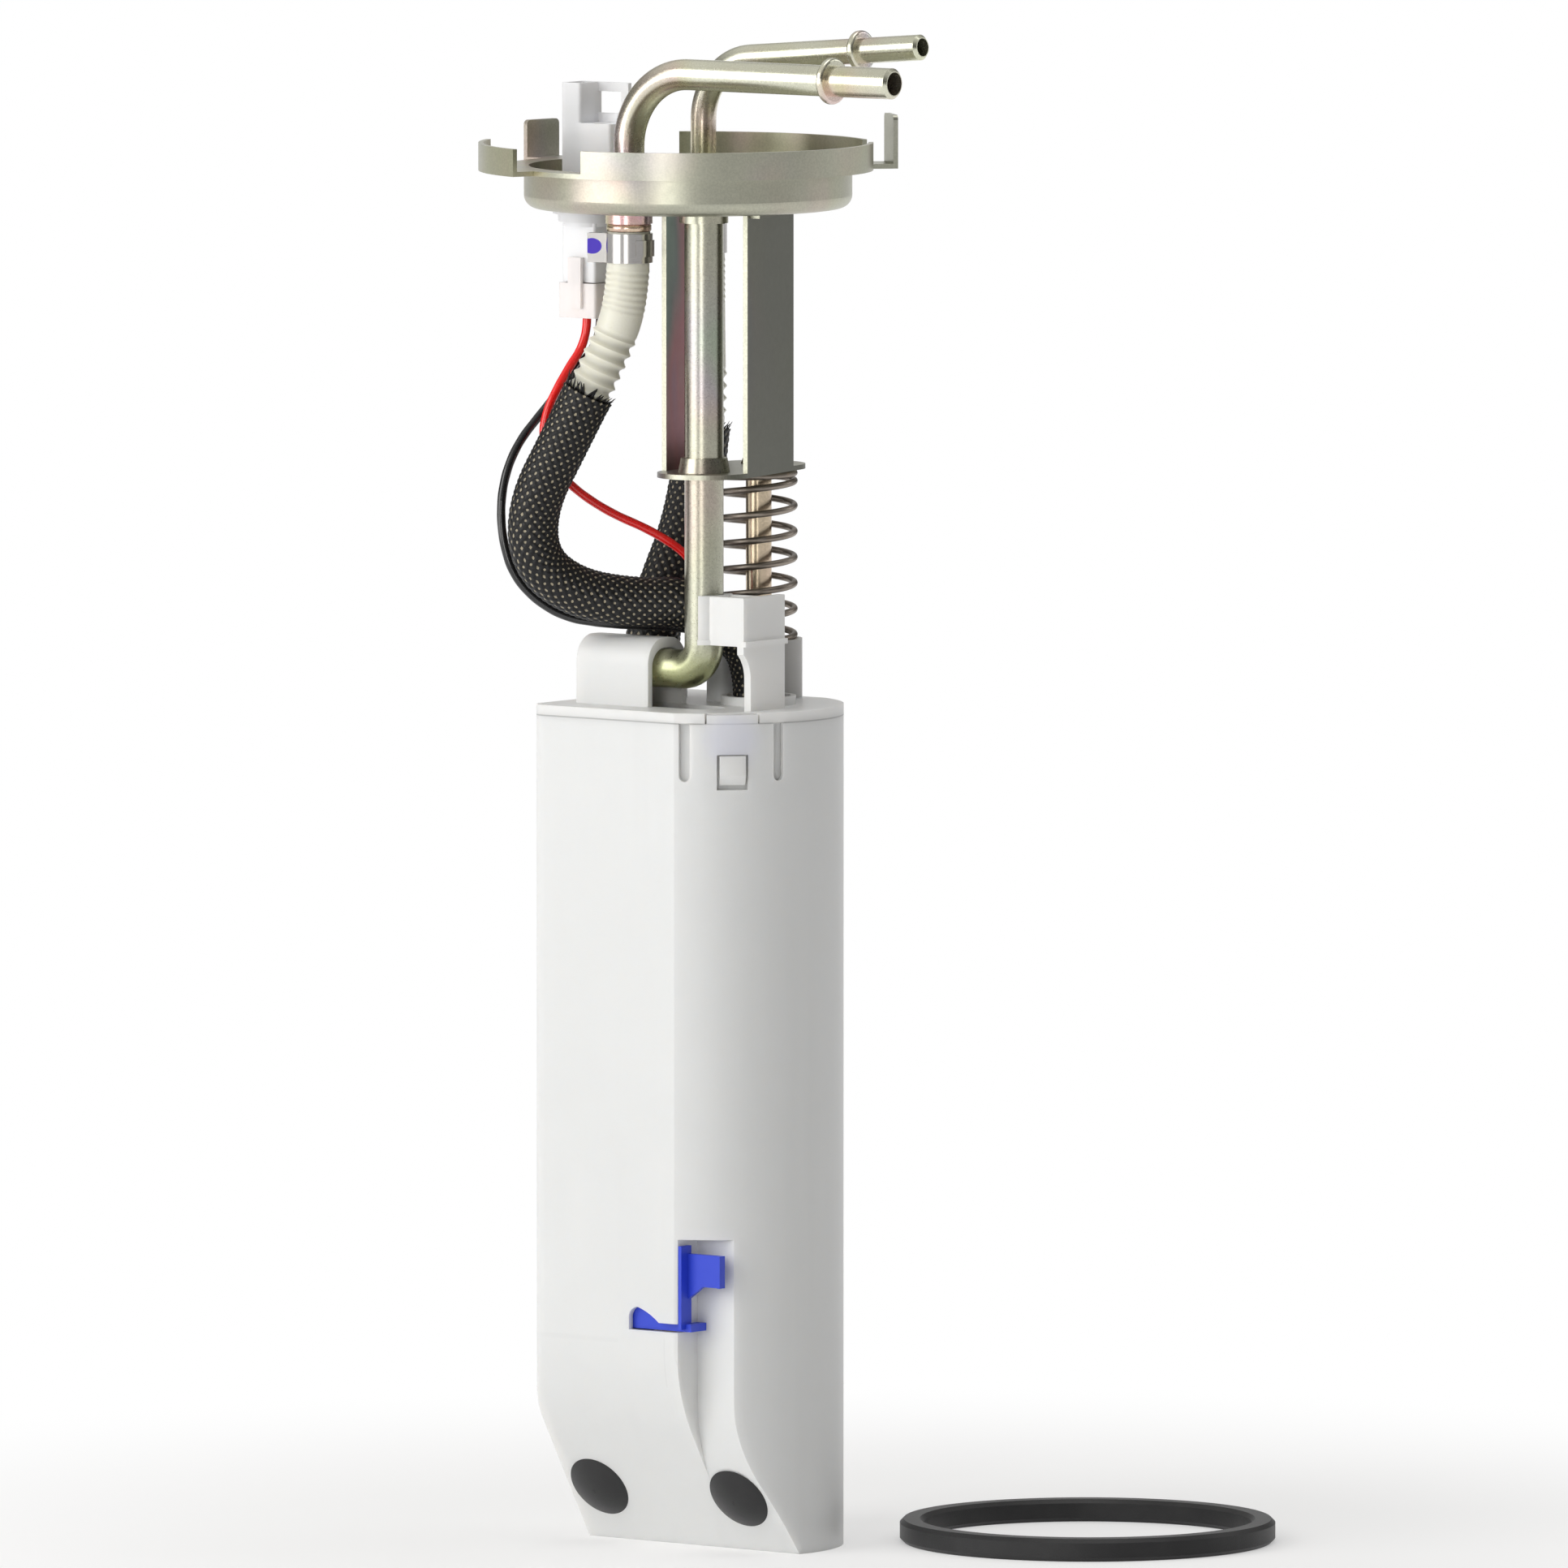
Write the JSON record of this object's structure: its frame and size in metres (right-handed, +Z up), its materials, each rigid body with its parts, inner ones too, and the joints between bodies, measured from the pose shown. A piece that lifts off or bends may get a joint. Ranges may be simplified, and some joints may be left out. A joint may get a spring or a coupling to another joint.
{
  "type": "fuel pump module",
  "caption": "In-tank fuel pump module: steel flange with outlet pipes on a sprung telescoping hanger over a D-shaped plastic reservoir with pump, hoses and leads.",
  "frame": {"origin": "on the reservoir's bottom face, under the middle of the round flange", "axes": "+Z up towards the flange, X along the reservoir's flat front with both outlet pipes running to +X, -Y out of the flat front"},
  "size_m": [0.2199, 0.1953, 0.4673],
  "materials": {
    "plastic_white": "satin translucent white",
    "plastic_clear": "translucent bluish white",
    "plastic_blue": "royal blue",
    "plastic_pink": "pinkish white",
    "rubber_black": "matt black",
    "hose_cream": "translucent cream",
    "sleeve_black": "black braid",
    "wire_red": "glossy red",
    "wire_black": "glossy black",
    "steel_zinc": "zinc with a yellow-green passivate",
    "steel_bright": "bright stainless",
    "steel_spring": "dark oiled spring steel",
    "brass_tin": "tinned brass",
    "copper": "enamelled copper",
    "carbon": "carbon",
    "magnet": "ferrite",
    "mesh": "fine nylon mesh"
  },
  "bodies": {
    "reservoir": {"reservoir": "plastic_white", "bumpers": "rubber_black", "lid": "plastic_white", "feed_fitting": "plastic_white", "return_fitting": "plastic_white", "inner_hose": "hose_cream", "drop_pipe": "plastic_white", "jet": "plastic_white", "pump_shell": "steel_bright", "pump_inlet_cover": "plastic_white", "pump_outlet_plate": "plastic_white", "motor_magnets": "magnet", "brushes": "carbon", "brush_springs": "steel_bright", "pump_end_cap": "plastic_white", "check_spring": "steel_bright", "check_stop": "plastic_white", "pump_plug": "plastic_white", "pump_holder": "plastic_white", "upper_isolator": "rubber_black", "lower_isolator": "rubber_black", "pump_foot": "plastic_white", "strainer": "mesh", "strainer_neck": "plastic_white", "main_spring": "steel_spring", "feed_hose": "hose_cream", "feed_sleeve": "sleeve_black", "return_hose": "hose_cream", "return_sleeve": "sleeve_black", "red_lead": "wire_red", "black_lead": "wire_black"},
    "flange": {"flange_pan": "steel_zinc", "feed_pipe": "steel_zinc", "return_pipe": "steel_zinc", "feed_clamp": "steel_bright", "return_clamp": "steel_bright", "connector": "plastic_clear", "connector_terminals": "brass_tin", "connector_grommet": "plastic_clear", "harness_plug": "plastic_pink", "bracket": "steel_zinc", "guide_tube": "steel_zinc", "guide_rod": "steel_zinc"},
    "rotor": {"impeller": "plastic_white", "motor_shaft": "steel_bright", "armature_core": "steel_bright", "armature_windings": "copper", "commutator": "copper"},
    "check_valve": {"check_poppet": "rubber_black"},
    "inlet_flap": {"inlet_valve": "rubber_black"},
    "latch": {"blue_latch": "plastic_blue"},
    "seal": {"tank_seal": "rubber_black"}
  },
  "joints": [
    {"name": "flange_slide", "type": "slide", "parent": "reservoir", "child": "flange", "axis": [0, 0, 1], "range_m": [-0.03, 0], "stiffness_N_per_m": 400, "springref_m": 0.04, "deforming": ["main_spring", "feed_hose", "feed_sleeve", "return_hose", "return_sleeve", "red_lead", "black_lead"]},
    {"name": "rotor_spin", "type": "hinge", "parent": "reservoir", "child": "rotor", "pos_m": [0.006, 0.01, 0.1], "axis": [0, 0, 1], "continuous": true},
    {"name": "check_lift", "type": "slide", "parent": "reservoir", "child": "check_valve", "axis": [0, 0, 1], "range_m": [0, 0.002], "stiffness_N_per_m": 60, "springref_m": -0.004, "deforming": ["check_spring"]},
    {"name": "inlet_valve_lift", "type": "slide", "parent": "reservoir", "child": "inlet_flap", "axis": [0, 0, 1], "range_m": [0, 0.001]},
    {"name": "latch_slide", "type": "slide", "parent": "reservoir", "child": "latch", "axis": [1, 0, 0], "range_m": [0, 0.008]},
    {"name": "seal_lift", "type": "slide", "parent": "reservoir", "child": "seal", "axis": [0, 0, 1], "range_m": [0, 0.05]}
  ]
}
